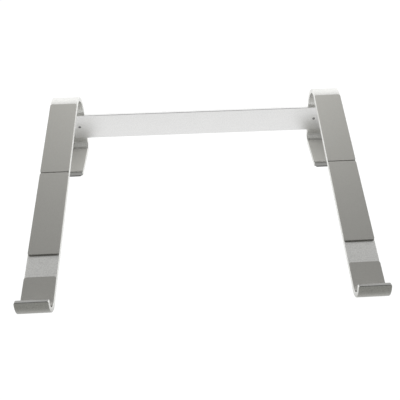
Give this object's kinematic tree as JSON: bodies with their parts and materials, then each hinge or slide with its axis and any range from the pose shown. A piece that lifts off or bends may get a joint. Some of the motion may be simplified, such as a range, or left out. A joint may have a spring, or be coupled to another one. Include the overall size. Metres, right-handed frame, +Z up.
{
  "type": "laptop stand",
  "caption": "Low wedge-shaped laptop stand: two bent flat-bar arms with front hooks, rear supports and feet, joined by a flat crossbar, with rubber pads.",
  "frame": {"origin": "on the desk, at the middle of the stand's width and depth", "axes": "+Z up, +X to the right as seen from the front, +Y to the rear, where the crossbar is; the hooks are at -Y"},
  "size_m": [0.286, 0.2652, 0.0703],
  "materials": {
    "anodised_bar": "fine-blasted clear anodised",
    "anodised_crossbar": "fine-blasted clear anodised",
    "pad_rubber": "matt grey rubber",
    "base_rubber": "matt dark rubber",
    "screw_steel": "plain steel"
  },
  "bodies": {
    "root": {"left_side_bar": "anodised_bar", "right_side_bar": "anodised_bar", "crossbar": "anodised_crossbar", "left_rear_pad": "pad_rubber", "left_middle_pad": "pad_rubber", "left_front_pad": "pad_rubber", "left_foot_top_pad": "pad_rubber", "left_foot_base_pad": "base_rubber", "left_front_base_pad": "base_rubber", "left_inner_screw": "screw_steel", "left_outer_screw": "screw_steel", "right_rear_pad": "pad_rubber", "right_middle_pad": "pad_rubber", "right_front_pad": "pad_rubber", "right_foot_top_pad": "pad_rubber", "right_foot_base_pad": "base_rubber", "right_front_base_pad": "base_rubber", "right_inner_screw": "screw_steel", "right_outer_screw": "screw_steel"}
  },
  "joints": []
}
